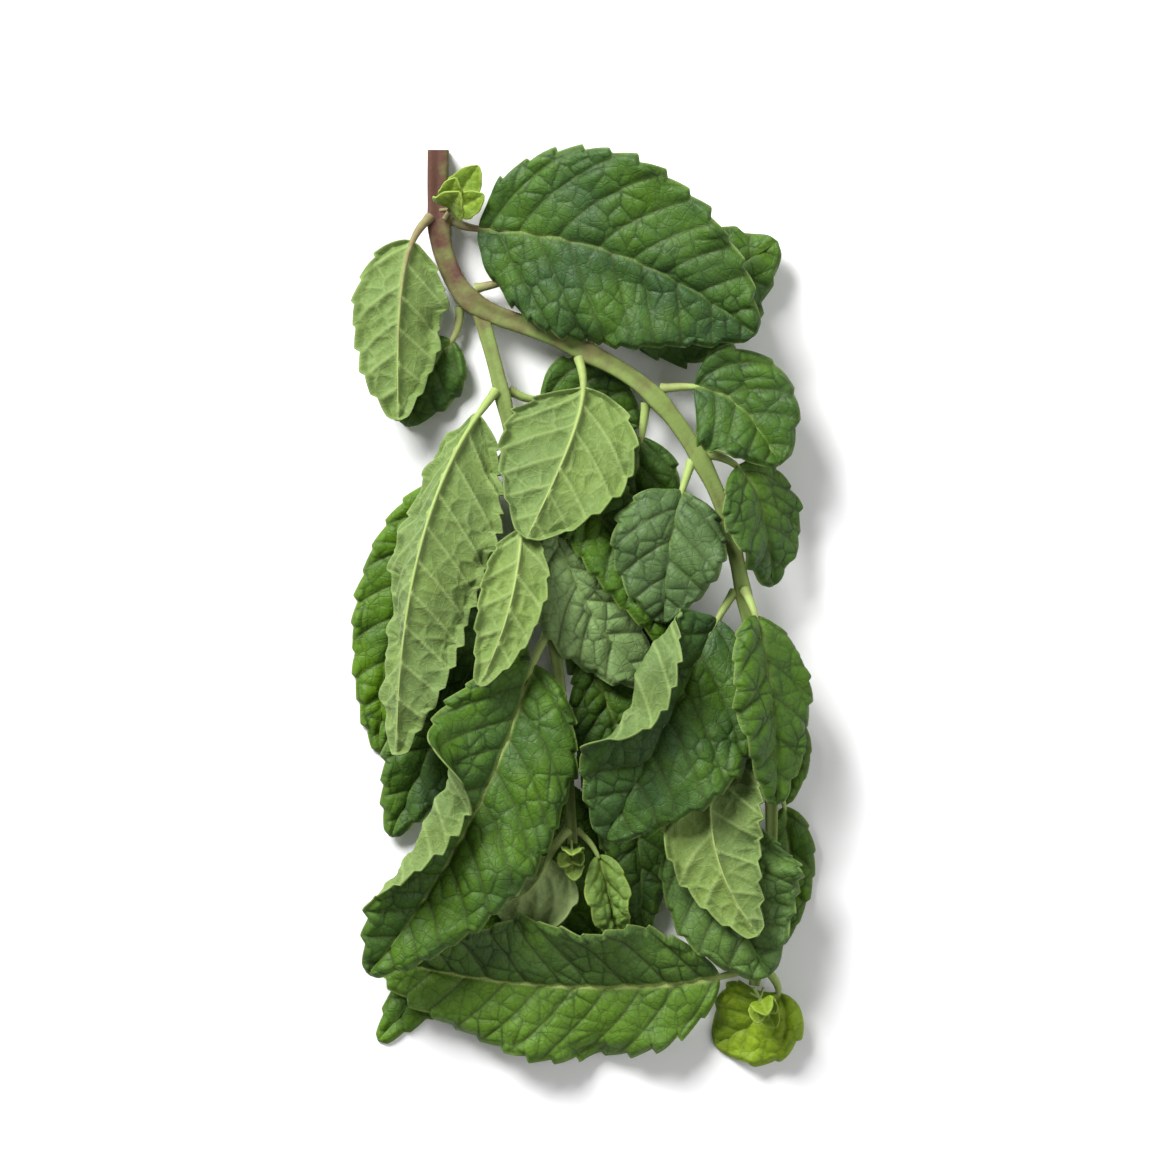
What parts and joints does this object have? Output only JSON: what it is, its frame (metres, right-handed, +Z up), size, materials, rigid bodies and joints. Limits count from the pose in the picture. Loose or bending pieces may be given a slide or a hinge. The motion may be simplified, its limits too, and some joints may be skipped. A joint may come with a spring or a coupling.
{
  "type": "spearmint sprig",
  "caption": "Cut sprig of spearmint lying down: a curved square stem with a side shoot, opposite toothed and quilted leaves, some rolled or folded, and young leaf clusters.",
  "frame": {"origin": "on the surface that the sprig lies on, under the middle of its bounding box", "axes": "+Y along the sprig towards the stem's cut end, +Z up from the surface, +X to the right when seen from above with the cut end at the top"},
  "size_m": [0.089, 0.1748, 0.0273],
  "materials": {
    "leaf": "satin, quilted by sunken veins",
    "leaf_underside": "matt, with raised veins",
    "young_leaf": "satin, thin and bright",
    "stem": "satin, purple-brown towards the cut end"
  },
  "bodies": {
    "root": {"main_stem": "stem", "side_shoot": "stem", "main_leaf_1_left": "leaf_underside", "main_leaf_1_right": "leaf", "main_leaf_2_left": "leaf", "main_leaf_2_right": "leaf", "main_leaf_3_left": "leaf", "main_leaf_3_right": "leaf_underside", "main_leaf_4_left": "leaf", "main_leaf_4_right": "leaf", "main_leaf_5_right": "leaf", "main_leaf_5_left": "leaf", "main_leaf_6_right": "leaf", "main_leaf_6_left": "leaf", "main_leaf_7_right": "leaf_underside", "main_leaf_7_left": "leaf", "main_leaf_8_right": "leaf", "main_leaf_8_left": "leaf", "main_leaf_9_right": "leaf", "main_leaf_9_left": "young_leaf", "side_leaf_1_right": "leaf_underside", "side_leaf_1_left": "leaf", "side_leaf_2_right": "leaf", "side_leaf_2_left": "leaf", "side_leaf_3_right": "leaf_underside", "side_leaf_3_left": "leaf", "side_leaf_4_right": "leaf", "side_leaf_4_left": "leaf", "side_leaf_5_right": "leaf", "side_leaf_5_left": "leaf", "side_leaf_6_right": "leaf", "side_leaf_6_left": "leaf", "side_leaf_7_right": "leaf_underside", "side_leaf_7_left": "young_leaf", "axil_cluster": "young_leaf", "main_tip_cluster": "young_leaf", "side_tip_cluster": "young_leaf"}
  },
  "joints": []
}
